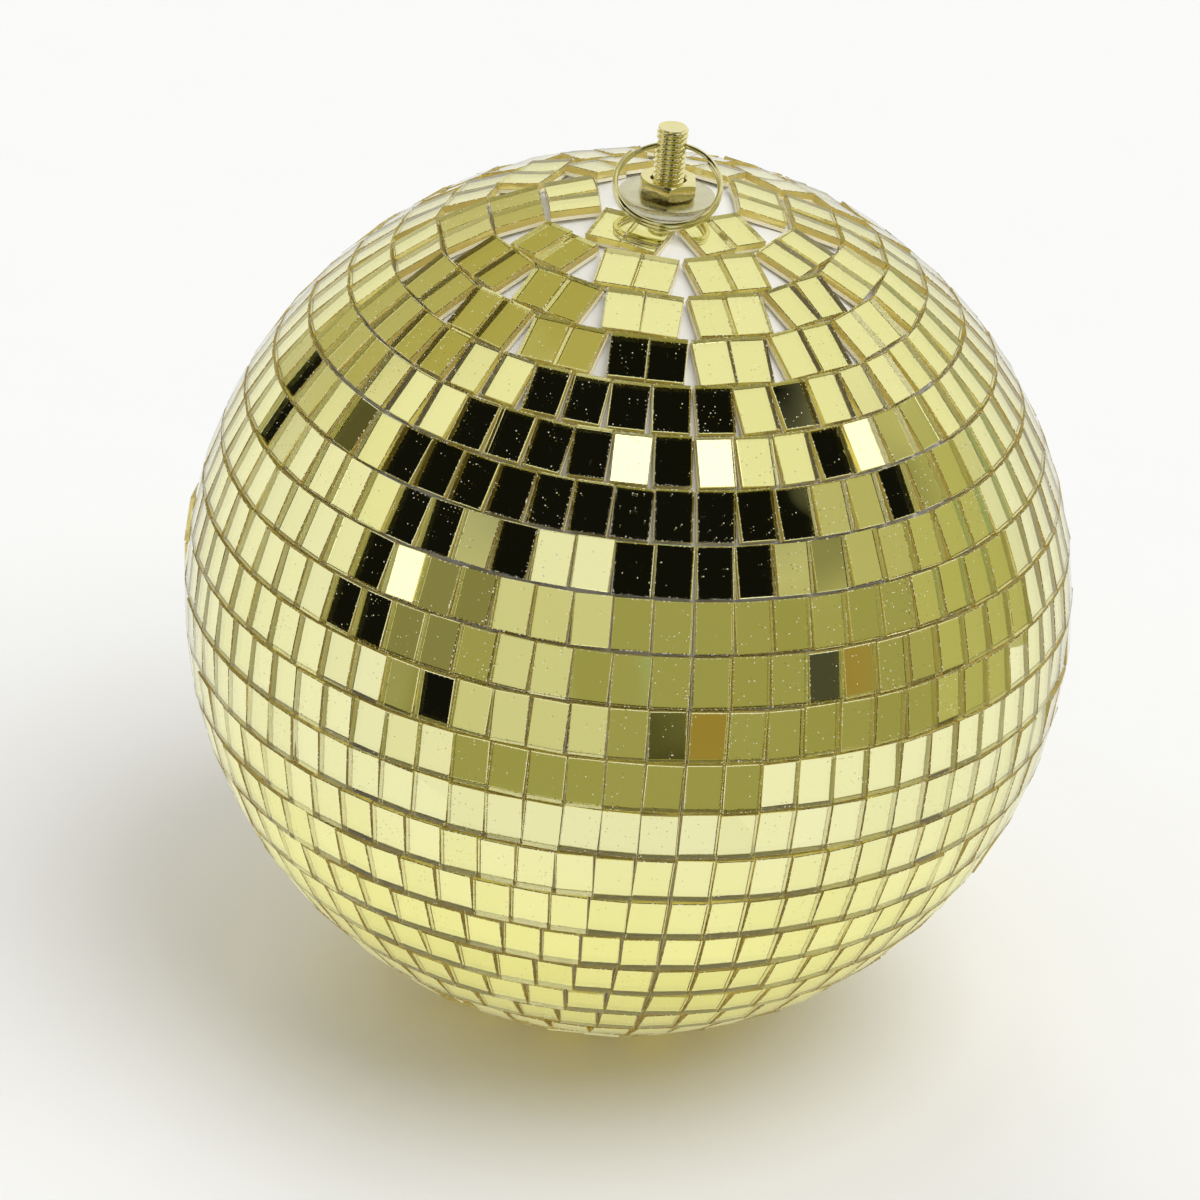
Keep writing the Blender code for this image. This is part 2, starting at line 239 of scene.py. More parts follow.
def tile_glass():
    """Float glass with a tint, dust and glue specks, wiping scratches and chipped edges."""
    material, tree, shader = new_finish("tile_glass", IOR=1.5)
    place, share = tile_attributes(tree)
    speck_scale, most_specks, speck_rim, speck_core = 1500.0, 0.30, 0.22, 0.13
    scratch_scale, scratch_depth, scratch_shape = 3600.0, 0.45, (0.14, 1.0, 1.0)
    chip_scale, chip_reach, whole_edge = 2300.0, 0.30 * MM, 0.10 * MM
    # Each tile reads its own part of the patterns, and its scratches run their own way.
    moved = vector_calc(tree, "ADD", place,
                        point_at(tree, share, calc(tree, "MULTIPLY", share, 3.7), 0.0))
    turned = add_node(tree, "ShaderNodeVectorRotate",
                      {"Vector": moved, "Angle": calc(tree, "MULTIPLY", share, 57.0)},
                      rotation_type="Z_AXIS").outputs[0]
    long_way = vector_calc(tree, "MULTIPLY", turned, scratch_shape)
    other_share = calc(tree, "FRACT", calc(tree, "MULTIPLY", share, 91.0))
    worn = ramp(tree, other_share, 0.35, 1.0, 0.15, 1.0)
    dots = add_node(tree, "ShaderNodeTexVoronoi", {"Vector": moved, "Scale": speck_scale})
    kept = calc(tree, "LESS_THAN", axes_of(tree, dots.outputs["Color"])["X"],
                calc(tree, "MULTIPLY", worn, most_specks))
    dot = ramp(tree, dots.outputs["Distance"], speck_rim, speck_core)
    specks = calc(tree, "MULTIPLY", dot, kept)
    scratches = calc(tree, "MULTIPLY", ramp(tree, noise(tree, long_way, scratch_scale), 0.72, 0.80),
                     calc(tree, "MULTIPLY", worn, scratch_depth))
    axes = axes_of(tree, place)
    edge = calc(tree, "MINIMUM",
                calc(tree, "SUBTRACT", TILE_HEIGHT / 2, calc(tree, "ABSOLUTE", axes["X"])),
                calc(tree, "SUBTRACT", TILE_WIDTH / 2, calc(tree, "ABSOLUTE", axes["Y"])))
    by_edge = calc(tree, "MULTIPLY", ramp(tree, edge, chip_reach, whole_edge),
                   ramp(tree, axes["Z"], -0.5 * MM, -0.2 * MM))
    chips = calc(tree, "MULTIPLY", by_edge,
                 ramp(tree, noise(tree, moved, chip_scale, 3.0), 0.56, 0.64))
    marks = calc(tree, "MAXIMUM", calc(tree, "MAXIMUM", specks, scratches), chips)
    tree.links.new(mix_colour(tree, marks, (1.0, 0.985, 0.80, 1.0), (0.97, 0.95, 0.78, 1.0)),
                   shader.inputs["Base Color"])
    tree.links.new(ramp(tree, marks, 0.0, 1.0, 0.0, 0.5), shader.inputs["Roughness"])
    tree.links.new(ramp(tree, marks, 0.0, 1.0, 1.0, 0.25), shader.inputs["Transmission Weight"])
    return material


def cut_edge():
    """Cut sides of the glass: clear with a gold tint, and a matte gold share that is a painted
    reflection of the gold mirror seen through the edge, with small ripples.
    """
    material, tree, shader = new_finish("cut_edge", IOR=1.5, Transmission_Weight=0.68)
    place = object_place(tree)
    # The matte gold share left by Transmission Weight 0.68 is a painted reflection of the gold
    # mirror behind the edge.
    tree.links.new(mix_colour(tree, noise(tree, place, 900.0), (1.0, 0.84, 0.27, 1.0),
                              (1.0, 0.93, 0.52, 1.0)), shader.inputs["Base Color"])
    ripple = noise(tree, place, 2400.0)
    tree.links.new(ramp(tree, ripple, 0.3, 0.7, 0.0, 0.16), shader.inputs["Roughness"])
    bump(tree, shader, ripple, 0.02 * MM)
    return material


def tile_mirror():
    """Gold silvering on the back of the glass, uneven from tile to tile and slightly wavy."""
    material, tree, shader = new_finish("tile_mirror", Metallic=1.0, Roughness=0.0)
    place, share = tile_attributes(tree)
    tree.links.new(mix_colour(tree, share, (0.87, 0.86, 0.50, 1.0), (0.92, 0.91, 0.60, 1.0)),
                   shader.inputs["Base Color"])
    moved = vector_calc(tree, "ADD", place, point_at(tree, share, share, share))
    bump(tree, shader, noise(tree, moved, 90.0, 0.0), 0.012 * MM)
    return material


def strip_backing():
    """Cream cloth that the tiles of a strip are glued to."""
    material, tree, shader = new_finish("strip_backing", Roughness=0.9)
    weave = noise(tree, object_place(tree), 1800.0)
    tree.links.new(mix_colour(tree, weave, (0.92, 0.85, 0.58, 1.0), (0.97, 0.93, 0.76, 1.0)),
                   shader.inputs["Base Color"])
    return material


def white_moulding():
    """White plastic of the core, with the fine grain of its mould."""
    material, tree, shader = new_finish("white_moulding", Roughness=0.4, IOR=1.49)
    place = object_place(tree)
    tree.links.new(mix_colour(tree, noise(tree, place, 120.0), (0.86, 0.86, 0.845, 1.0),
                              (0.93, 0.93, 0.92, 1.0)), shader.inputs["Base Color"])
    bump(tree, shader, noise(tree, place, 700.0), 0.02 * MM)
    return material


def plated(name, dark, light, roughness, grain):
    """Zinc or nickel plate: the colour drifts slowly and the polish follows a fine grain."""
    material, tree, shader = new_finish(name, Metallic=1.0)
    place = object_place(tree)
    tree.links.new(mix_colour(tree, noise(tree, place, 260.0), (*dark, 1.0), (*light, 1.0)),
                   shader.inputs["Base Color"])
    fine = noise(tree, place, grain, 3.0)
    tree.links.new(ramp(tree, fine, 0.3, 0.7, roughness * 0.7, roughness * 1.3),
                   shader.inputs["Roughness"])
    bump(tree, shader, fine, 0.004 * MM)
    return material


# ---- Mesh helpers ----------------------------------------------------------------
def add_piece(name, mesh, finish=None):
    piece = bpy.data.objects.new(name, mesh)
    bpy.context.scene.collection.objects.link(piece)
    if finish is not None:
        mesh.materials.clear()
        mesh.materials.append(finish)
    return piece


def shade(mesh, sharp_angle):
    mesh.shade_smooth()
    mesh.set_sharp_from_angle(angle=math.radians(sharp_angle))


def as_mesh(carrier, name):
    """Keep what an object's modifiers make as a plain mesh, and remove the object."""
    graph = bpy.context.evaluated_depsgraph_get()
    mesh = bpy.data.meshes.new_from_object(carrier.evaluated_get(graph))
    mesh.name = name
    bpy.data.objects.remove(carrier)
    return mesh


def grown(name, tree, values):
    """Run a Geometry Nodes tree with these inputs and return the mesh that it makes."""
    carrier = add_piece(name + "_nodes", bpy.data.meshes.new(name + "_nodes"))
    modifier = carrier.modifiers.new("nodes", "NODES")
    modifier.node_group = tree
    identifiers = {item.name: item.identifier for item in tree.interface.items_tree
                   if item.item_type == "SOCKET" and item.in_out == "INPUT"}
    for label, value in values.items():
        modifier[identifiers[label]] = value
    return as_mesh(carrier, name)


def turned_mesh(name, outline, sides, start=0.0):
    """Turn an outline of (radius, height) points a whole turn round +Z."""
    build = bmesh.new()
    points = [build.verts.new((r * math.cos(start), r * math.sin(start), z)) for r, z in outline]
    edges = [build.edges.new(pair) for pair in zip(points, points[1:])]
    if outline[0][0] > 0.0 or outline[-1][0] > 0.0:
        edges.append(build.edges.new((points[-1], points[0])))
    bmesh.ops.spin(build, geom=points + edges, cent=(0, 0, 0), axis=(0, 0, 1),
                   angle=math.tau, steps=sides, use_merge=True)
    bmesh.ops.remove_doubles(build, verts=build.verts[:], dist=0.001 * MM)
    bmesh.ops.recalc_face_normals(build, faces=build.faces[:])
    mesh = bpy.data.meshes.new(name)
    build.to_mesh(mesh)
    build.free()
    return mesh


def combined(name, body, *others):
    """Join, cut or intersect a mesh with others, each given as (operation, mesh)."""
    carrier = add_piece(name + "_body", body)
    tools = []
    for operation, mesh in others:
        tool = add_piece(mesh.name + "_tool", mesh)
        tools.append(tool)
        modifier = carrier.modifiers.new(mesh.name, "BOOLEAN")
        modifier.operation = operation
        modifier.solver = "EXACT"
        modifier.object = tool
    result = as_mesh(carrier, name)
    for tool in tools:
        bpy.data.objects.remove(tool)
    return result


def arc(radius, start, stop, steps):
    """Points of a circle in the outline's plane, at angles measured from +Z."""
    angles = [start + (stop - start) * i / steps for i in range(steps + 1)]
    return [(radius * math.sin(a), radius * math.cos(a)) for a in angles]


def stand_in(piece, body, slot, *nodes):
    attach(piece, body)
    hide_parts(*nodes)


# ---- Tile strips -----------------------------------------------------------------
def sockets(kind, *labels):
    return tuple((label, "NodeSocket" + kind) for label in labels)


PATCH_SOCKETS = (
    sockets("Int", "Tiles", "Seed")
    + sockets("Float", "Tile Width", "Tile Height", "Joint", "Glass", "Glue Film", "Backing",
              "Arris", "Tilt")
    + sockets("Material", "Glass Finish", "Side Finish", "Mirror Finish", "Backing Finish"))
STRIP_SOCKETS = PATCH_SOCKETS + (
    sockets("Float", "Ball Radius", "Polar Angle", "Seam Turn", "Seam Gap", "Twist", "Nudge",
            "Loose Lift")
    + sockets("Int", "Run", "Loose Tile"))
TILE_SIZES = {"Tile Width": TILE_WIDTH, "Tile Height": TILE_HEIGHT, "Joint": TILE_JOINT,
              "Glass": GLASS, "Glue Film": GLUE_FILM, "Backing": BACKING, "Arris": ARRIS}


# Between which heights a face's normal lies, from -1 (straight down) to 1 (straight up).
FACING_UP, FACING_SIDEWAYS, FACING_DOWN = (0.5, 2.0), (-0.5, 0.1), (-2.0, -0.5)


def faces_between(tree, low, high):
    normal = add_node(tree, "GeometryNodeInputNormal").outputs["Normal"]
    height = axes_of(tree, normal)["Z"]
    return calc(tree, "MULTIPLY", calc(tree, "GREATER_THAN", height, low),
                calc(tree, "LESS_THAN", height, high))


def store(tree, geometry, name, value, data_type="FLOAT", domain="FACE"):
    return add_node(tree, "GeometryNodeStoreNamedAttribute",
                    {"Geometry": geometry, "Name": name, "Value": value},
                    data_type=data_type, domain=domain).outputs[0]


def set_place(tree, geometry, place, selection=True):
    return add_node(tree, "GeometryNodeSetPosition",
                    {"Geometry": geometry, "Position": place, "Selection": selection}).outputs[0]


def set_finish(tree, geometry, material, selection=True):
    return add_node(tree, "GeometryNodeSetMaterial",
                    {"Geometry": geometry, "Material": material,
                     "Selection": selection}).outputs[0]


def line_of(tree, count, place):
    """Points joined in a line, each moved to the place worked out from its index."""
    line = add_node(tree, "GeometryNodeMeshLine", {"Count": count}).outputs[0]
    return set_place(tree, line, place)


def block(tree, x, y, z, lift):
    cube = add_node(tree, "GeometryNodeMeshCube", {"Size": point_at(tree, x, y, z)}).outputs["Mesh"]
    return add_node(tree, "GeometryNodeTransform",
                    {"Geometry": cube, "Translation": point_at(tree, 0.0, 0.0, lift)}).outputs[0]


def one_tile(tree, size):
    """A glass block, arrised round its face, on its piece of backing. Its face is at z = 0."""
    body = calc(tree, "SUBTRACT", size["Glass"], size["Arris"])
    body_lift = calc(tree, "SUBTRACT", calc(tree, "MULTIPLY", body, -0.5), size["Arris"])
    glass = block(tree, size["Tile Height"], size["Tile Width"], body, body_lift)
    raised = add_node(tree, "GeometryNodeExtrudeMesh",
                      {"Mesh": glass, "Selection": faces_between(tree, *FACING_UP),
                       "Offset Scale": size["Arris"]}, mode="FACES")
    border = calc(tree, "MULTIPLY", size["Arris"], 2.0)
    shrink = [calc(tree, "SUBTRACT", 1.0, calc(tree, "DIVIDE", border, size[side]))
              for side in ("Tile Height", "Tile Width")]
    place = add_node(tree, "GeometryNodeInputPosition").outputs[0]
    drawn_in = vector_calc(tree, "MULTIPLY", place, point_at(tree, *shrink, 1.0))
    arrised = set_place(tree, raised.outputs["Mesh"], drawn_in, raised.outputs["Top"])
    sided = store(tree, arrised, "side_face", faces_between(tree, *FACING_SIDEWAYS))
    mirrored = store(tree, sided, "mirror_face", faces_between(tree, *FACING_DOWN))
    behind = calc(tree, "MULTIPLY", calc(tree, "ADD", size["Glass"], size["Glue Film"]), 2.0)
    backing_lift = calc(tree, "MULTIPLY", calc(tree, "ADD", size["Backing"], behind), -0.5)
    backing = block(tree, size["Tile Height"], calc(tree, "ADD", size["Tile Width"], size["Joint"]),
                    size["Backing"], backing_lift)
    backing = store(tree, backing, "backing_face", 1.0)
    joined = add_node(tree, "GeometryNodeJoinGeometry")
    for part in (backing, mirrored):
        tree.links.new(part, joined.inputs[0])
    return store(tree, joined.outputs[0], "tile_place", place, "FLOAT_VECTOR", "POINT")


def scatter(tree, seed, number, size):
    """Random vector of a given size for each number: mostly small, with a few large ones."""
    random = add_node(tree, "FunctionNodeRandomValue", {0: (-1.0,) * 3, 1: (1.0,) * 3},
                      data_type="FLOAT_VECTOR")
    tree.links.new(number, random.inputs["ID"])
    tree.links.new(seed, random.inputs["Seed"])
    value = random.outputs[0]
    skewed = vector_calc(tree, "MULTIPLY", value, vector_calc(tree, "ABSOLUTE", value))
    return vector_calc(tree, "MULTIPLY", skewed, size)


def finished_tiles(tree, size, points, rotation):
    """One tile at each point, made real, with the finish that belongs to each of its faces."""
    tiles = add_node(tree, "GeometryNodeInstanceOnPoints",
                     {"Points": points, "Instance": one_tile(tree, size),
                      "Rotation": rotation}).outputs[0]
    random = add_node(tree, "FunctionNodeRandomValue", data_type="FLOAT")
    tree.links.new(size["Seed"], random.inputs["Seed"])
    shaded = store(tree, tiles, "tile_shade", random.outputs[1], domain="INSTANCE")
    real = add_node(tree, "GeometryNodeRealizeInstances", {"Geometry": shaded}).outputs[0]
    finished = set_finish(tree, real, size["Glass Finish"])
    for mark, finish in (("side_face", "Side Finish"), ("mirror_face", "Mirror Finish"),
                         ("backing_face", "Backing Finish")):
        marked = add_node(tree, "GeometryNodeInputNamedAttribute", {"Name": mark},
                          data_type="FLOAT").outputs[0]
        finished = set_finish(tree, finished, size[finish],
                              calc(tree, "GREATER_THAN", marked, 0.5))
    return finished


def strip_turn(tree, size, index):
    """The straight run that a tile is in, that run's turn round +Z and the tile's offset in it."""
    run = calc(tree, "FLOOR", calc(tree, "DIVIDE", index, size["Run"]))
    in_run = calc(tree, "SUBTRACT", index, calc(tree, "MULTIPLY", run, size["Run"]))
    runs = calc(tree, "DIVIDE", size["Tiles"], size["Run"])
    run_turn = calc(tree, "DIVIDE", calc(tree, "SUBTRACT", math.tau, size["Seam Gap"]), runs)
    turn = calc(tree, "ADD", calc(tree, "MULTIPLY", size["Seam Gap"], 0.5),
                calc(tree, "MULTIPLY", calc(tree, "ADD", run, 0.5), run_turn))
    middle = calc(tree, "MULTIPLY", calc(tree, "SUBTRACT", size["Run"], 1.0), 0.5)
    along = calc(tree, "MULTIPLY", calc(tree, "SUBTRACT", in_run, middle),
                 calc(tree, "ADD", size["Tile Width"], size["Joint"]))
    return run, calc(tree, "ADD", turn, size["Seam Turn"]), along


def strip_tree():
    """Geometry Nodes for one strip: flat tiles set round the ball in short straight runs."""
    tree, size = new_tree("mirror_tile_strip", "GeometryNodeTree", STRIP_SOCKETS,
                          ("Strip", "NodeSocketGeometry"))
    index = add_node(tree, "GeometryNodeInputIndex").outputs[0]
    run, turn, along = strip_turn(tree, size, index)
    tilt = point_at(tree, size["Tilt"], size["Tilt"], size["Twist"])
    lean = vector_calc(tree, "ADD", scatter(tree, size["Seed"], run, tilt),
                       scatter(tree, calc(tree, "ADD", size["Seed"], TILE_SEED), index, tilt))
    loose = calc(tree, "COMPARE", index, size["Loose Tile"], 0.1)
    nudge = scatter(tree, calc(tree, "ADD", size["Seed"], NUDGE_SEED), index,
                    point_at(tree, size["Nudge"], size["Nudge"], size["Nudge"]))
    radius = calc(tree, "ADD", size["Ball Radius"], axes_of(tree, nudge)["Z"])
    radius = calc(tree, "ADD", radius, calc(tree, "MULTIPLY", loose, size["Loose Lift"]))
    angle = calc(tree, "ADD", size["Polar Angle"],
                 calc(tree, "DIVIDE", axes_of(tree, nudge)["X"], size["Ball Radius"]))
    place = point_at(tree, calc(tree, "MULTIPLY", radius, calc(tree, "SINE", angle)), along,
                     calc(tree, "MULTIPLY", radius, calc(tree, "COSINE", angle)))
    placed = add_node(tree, "ShaderNodeVectorRotate", {"Vector": place, "Angle": turn},
                      rotation_type="Z_AXIS").outputs[0]
    points = line_of(tree, size["Tiles"], placed)
    facing = add_node(tree, "FunctionNodeEulerToRotation",
                      {0: point_at(tree, 0.0, size["Polar Angle"], turn)}).outputs[0]
    leaning = add_node(tree, "FunctionNodeEulerToRotation", {0: lean}).outputs[0]
    rotation = add_node(tree, "FunctionNodeRotateRotation",
                        {"Rotation": facing, "Rotate By": leaning}, rotation_space="LOCAL")
    return end_tree(tree, finished_tiles(tree, size, points, rotation.outputs[0]))


def tiles_in_row(row):
    """Tiles that fit round the row's edge nearer to the pole, an even number if in pairs."""
    edge = CROWN_OPENING + row * ROW_ANGLE
    count = round(math.tau * BALL_RADIUS * math.sin(edge) / TILE_PITCH)
    return count - count % 2 if row < PAIRED_ROWS else count


def lay_strips(finishes):
    """Rows count from the crown down, and the lower half mirrors the upper one."""
    tree = strip_tree()
    for number in range(1, 2 * ROWS_PER_HALF + 1):
        row = min(number - 1, 2 * ROWS_PER_HALF - number)
        by_pole, paired = row == 0, row < PAIRED_ROWS
        edge_radius = BALL_RADIUS * math.sin(CROWN_OPENING + row * ROW_ANGLE)
        inset = CROWN_INSET if number == 1 else 0.0
        name = f"tiles_row_{number:02d}"
        mesh = grown(name, tree, {
            "Ball Radius": BALL_RADIUS,
            "Polar Angle": CROWN_OPENING + (number - 0.5) * ROW_ANGLE - inset,
            "Tiles": tiles_in_row(row), "Run": 2 if paired else 1, "Seam Turn": SEAM_TURN,
            "Seam Gap": (PAIRED_SEAM_GAP if paired else SEAM_GAP) / edge_radius,
            "Tilt": math.radians(POLE_TILT if by_pole else PAIRED_TILT if paired else SINGLE_TILT),
            "Twist": math.radians(POLE_TWIST if by_pole else ROW_TWIST), "Nudge": NUDGE,
            "Loose Tile": LOOSE_TILES.get(number, -1), "Loose Lift": LOOSE_LIFT,
            "Seed": SEED_STEP * number, **TILE_SIZES, **finishes})
        stand_in(add_piece(name, mesh), "ball", "gold_mirror", f"tile_row_{number:02d}")


def lay_bottom_patch(finishes):
    """Four flat tiles over the lower pole: two end to end, and one on each side of them."""
    tree, size = new_tree("bottom_tile_patch", "GeometryNodeTree", PATCH_SOCKETS,
                          ("Patch", "NodeSocketGeometry"))
    index = add_node(tree, "GeometryNodeInputIndex").outputs[0]
    quarter = calc(tree, "MULTIPLY", index, math.pi / 2)
    along = calc(tree, "MULTIPLY", calc(tree, "COSINE", quarter),
                 calc(tree, "MULTIPLY", calc(tree, "ADD", size["Tile Height"], size["Joint"]), 0.5))
    across = calc(tree, "MULTIPLY", calc(tree, "SINE", quarter),
                  calc(tree, "ADD", size["Tile Width"], size["Joint"]))
    points = line_of(tree, size["Tiles"], point_at(tree, along, across, 0.0))
    tilt = point_at(tree, size["Tilt"], size["Tilt"], size["Tilt"])
    lean = scatter(tree, size["Seed"], index, tilt)
    leaning = add_node(tree, "FunctionNodeEulerToRotation", {0: lean}).outputs[0]
    end_tree(tree, finished_tiles(tree, size, points, leaning))
    mesh = grown("tiles_bottom_patch", tree, {
        "Tiles": PATCH_TILES, "Tilt": math.radians(PATCH_TILT), "Seed": PATCH_SEED,
        **TILE_SIZES, **finishes})
    mesh.transform(Matrix.Translation((0.0, 0.0, -BALL_RADIUS)) @ Matrix.Rotation(math.pi, 4, "X"))
    stand_in(add_piece("tiles_bottom_patch", mesh), "ball", "gold_mirror", "tile_cap_bottom")


# ---- Core ------------------------------------------------------------------------
def mould_core(finish):
    """Two half shells with a gap at the equator, a boss at the crown and a lip at the joint."""
    rim = FIT_GAP / 2
    socket_z = LIP_HEIGHT + FIT_GAP
    socket_radius = math.sqrt(SHELL_INSIDE ** 2 - socket_z ** 2)
    upper = (arc(CORE_RADIUS, math.acos(rim / CORE_RADIUS), math.asin(SEAT_RADIUS / CORE_RADIUS),
                 OUTSIDE_STEPS)
             + [(BORE_RADIUS, SEAT_Z), (BORE_RADIUS, SEAT_Z - BOSS_THICKNESS),
                (BOSS_RADIUS, SEAT_Z - BOSS_THICKNESS)]
             + arc(SHELL_INSIDE, math.asin((BOSS_RADIUS + BOSS_DRAFT) / SHELL_INSIDE),
                   math.acos(socket_z / SHELL_INSIDE), INSIDE_STEPS)
             + [(socket_radius, rim)])
    lip_outside = socket_radius - FIT_GAP
    lip_inside = lip_outside - LIP_WALL
    lower = (arc(CORE_RADIUS, math.pi, math.acos(-rim / CORE_RADIUS), OUTSIDE_STEPS)
             + [(lip_outside, -rim), (lip_outside, LIP_HEIGHT), (lip_inside, LIP_HEIGHT),
                (lip_inside, -LIP_ROOT / 2)]
             + arc(SHELL_INSIDE, math.acos(-LIP_ROOT / SHELL_INSIDE), math.pi, INSIDE_STEPS))
    # Both ends lie on the axis itself, so that the turned mesh closes.
    lower[0], lower[-1] = (0.0, -CORE_RADIUS), (0.0, -SHELL_INSIDE)
    for half, outline in (("upper", upper), ("lower", lower)):
        mesh = turned_mesh(f"core_{half}_half", outline, sides=144)
        shade(mesh, 25.0)
        stand_in(add_piece(mesh.name, mesh, finish), "ball", "white_shell", f"core_{half}_shell")


# ---- Bolt, nut and washers -------------------------------------------------------
def thread_tree():
    """Geometry Nodes for a threaded stud: a cylinder whose radius follows the thread."""
    tree, size = new_tree(
        "threaded_stud", "GeometryNodeTree",
        sockets("Float", "Length", "Crest Radius", "Thread Depth", "Pitch", "End Radius")
        + sockets("Int", "Sides", "Levels") + sockets("Material", "Finish"),
        ("Stud", "NodeSocketGeometry"))
    stud = add_node(tree, "GeometryNodeMeshCylinder",
                    {"Vertices": size["Sides"], "Side Segments": size["Levels"], "Radius": 1.0,
                     "Depth": size["Length"]}, fill_type="NGON").outputs["Mesh"]
    axes = axes_of(tree, add_node(tree, "GeometryNodeInputPosition").outputs[0])
    turn = calc(tree, "DIVIDE", calc(tree, "ARCTAN2", axes["Y"], axes["X"]), math.tau)
    phase = calc(tree, "SUBTRACT", calc(tree, "DIVIDE", axes["Z"], size["Pitch"]), turn)
    wave = calc(tree, "COSINE", calc(tree, "MULTIPLY", phase, math.tau))
    crest = calc(tree, "POWER", ramp(tree, wave, -1.0, 1.0), CREST_ROUNDING)
    below = calc(tree, "MULTIPLY", calc(tree, "SUBTRACT", 1.0, crest), size["Thread Depth"])
    radius = calc(tree, "SUBTRACT", size["Crest Radius"], below)
    from_end = calc(tree, "SUBTRACT", calc(tree, "DIVIDE", size["Length"], 2.0), axes["Z"])
    point = calc(tree, "ADD", size["End Radius"],
                 calc(tree, "MULTIPLY", from_end, STUD_POINT_SLOPE))
    radius = calc(tree, "MINIMUM", radius, point)
    angle = calc(tree, "MULTIPLY", turn, math.tau)
    place = point_at(tree, calc(tree, "MULTIPLY", radius, calc(tree, "COSINE", angle)),
                     calc(tree, "MULTIPLY", radius, calc(tree, "SINE", angle)), axes["Z"])
    return end_tree(tree, set_finish(tree, set_place(tree, stud, place), size["Finish"]))


def hexagon_mesh(name, bottom, top, turn):
    """Hexagonal prism, chamfered at both ends, with one corner at this turn from -Y."""
    flat = HEX_ACROSS_FLATS / 2
    corner = flat / math.cos(math.pi / 6)
    clear = corner + MM
    low_edge, high_edge = bottom + HEX_CHAMFER, top - HEX_CHAMFER
    prism = turned_mesh(name + "_prism",
                        [(0.0, bottom), (corner, bottom), (corner, top), (0.0, top)],
                        sides=6, start=turn - math.pi / 2)
    blank = turned_mesh(name + "_blank",
                        [(0.0, bottom), (flat, bottom), (corner, low_edge), (clear, low_edge),
                         (clear, high_edge), (corner, high_edge), (flat, top), (0.0, top)],
                        sides=96)
    return combined(name, prism, ("INTERSECT", blank))


def make_bolt(finish):
    """Hexagon-headed bolt, threaded along its stud and drilled across for the ring."""
    seat_z = bolt_low.z + HEAD_HEIGHT
    start_z = seat_z - HEAD_HEIGHT / 2
    length = bolt_high.z - start_z
    stud = grown("bolt_stud", thread_tree(), {
        "Length": length, "Crest Radius": CREST_RADIUS, "Thread Depth": THREAD_DEPTH,
        "Pitch": THREAD_PITCH, "End Radius": STUD_END_RADIUS, "Sides": STUD_SIDES,
        "Levels": round(length / THREAD_PITCH * LEVELS_PER_PITCH), "Finish": finish})
    build = bmesh.new()
    build.from_mesh(stud)
    bmesh.ops.translate(build, verts=build.verts[:], vec=(0, 0, start_z + length / 2))
    end_face = max(build.faces, key=lambda face: face.calc_center_median().z + face.normal.z)
    bmesh.ops.inset_individual(build, faces=[end_face], thickness=END_FACE_INSET,
                               depth=-END_FACE_SINK)
    build.to_mesh(stud)
    build.free()
    head = hexagon_mesh("bolt_head", bolt_low.z, seat_z, 0.0)
    through = CREST_RADIUS * 2
    drill = turned_mesh("bolt_drill", [(0.0, -through), (HOLE_RADIUS, -through),
                                       (HOLE_RADIUS, through), (0.0, through)], sides=40)
    drill.transform(Matrix.Translation(HOLE) @ Matrix.Rotation(math.pi / 2, 4, "Y"))
    mesh = combined("drilled_bolt", stud, ("UNION", head), ("DIFFERENCE", drill))
    shade(mesh, 42.0)
    stand_in(add_piece("drilled_bolt", mesh, finish), "ball", "zinc_yellow", "hanger_bolt")


def make_nut(finish):
    """Thin hexagon nut, countersunk at both ends, with its edges eased."""
    wide = BORE_RADIUS + MM + NUT_SINK
    bore = turned_mesh("nut_bore", [
        (0.0, nut_low.z - MM), (wide, nut_low.z - MM),
        (BORE_RADIUS, nut_low.z + NUT_SINK), (BORE_RADIUS, nut_high.z - NUT_SINK),
        (wide, nut_high.z + MM), (0.0, nut_high.z + MM)], sides=72)
    blank = hexagon_mesh("nut_blank", nut_low.z, nut_high.z, NUT_TURN)
    mesh = combined("hex_nut", blank, ("DIFFERENCE", bore))
    nut = add_piece("hex_nut", mesh, finish)
    bevel = nut.modifiers.new("eased_edges", "BEVEL")
    bevel.width = NUT_BEVEL
    bevel.segments = 2
    bevel.limit_method = "ANGLE"
    bevel.angle_limit = math.radians(24.0)
    mesh = as_mesh(nut, "hex_nut")
    shade(mesh, 24.0)
    stand_in(add_piece("hex_nut", mesh, finish), "ball", "zinc_yellow", "crown_nut")


def washer_outline(outer, bottom, top):
    """Section of a stamped washer, with its outer and inner edges eased."""
    inner, part = BORE_RADIUS, EASED * 0.3
    return [(inner + EASED, bottom), (outer - EASED, bottom), (outer - part, bottom + part),
            (outer, bottom + EASED), (outer, top - EASED), (outer - part, top - part),
            (outer - EASED, top), (inner + EASED, top), (inner + part, top - part),
            (inner, top - EASED), (inner, bottom + EASED), (inner + part, bottom + part)]


def make_washers(finish):
    for name, node, low, high in (("plain_washer", "crown_washer", washer_low, washer_high),
                                  ("wide_washer", "load_washer", load_low, load_high)):
        mesh = turned_mesh(name, washer_outline(high.x, low.z, high.z), sides=96)
        shade(mesh, 50.0)
        stand_in(add_piece(name, mesh, finish), "ball", "zinc_bright", node)


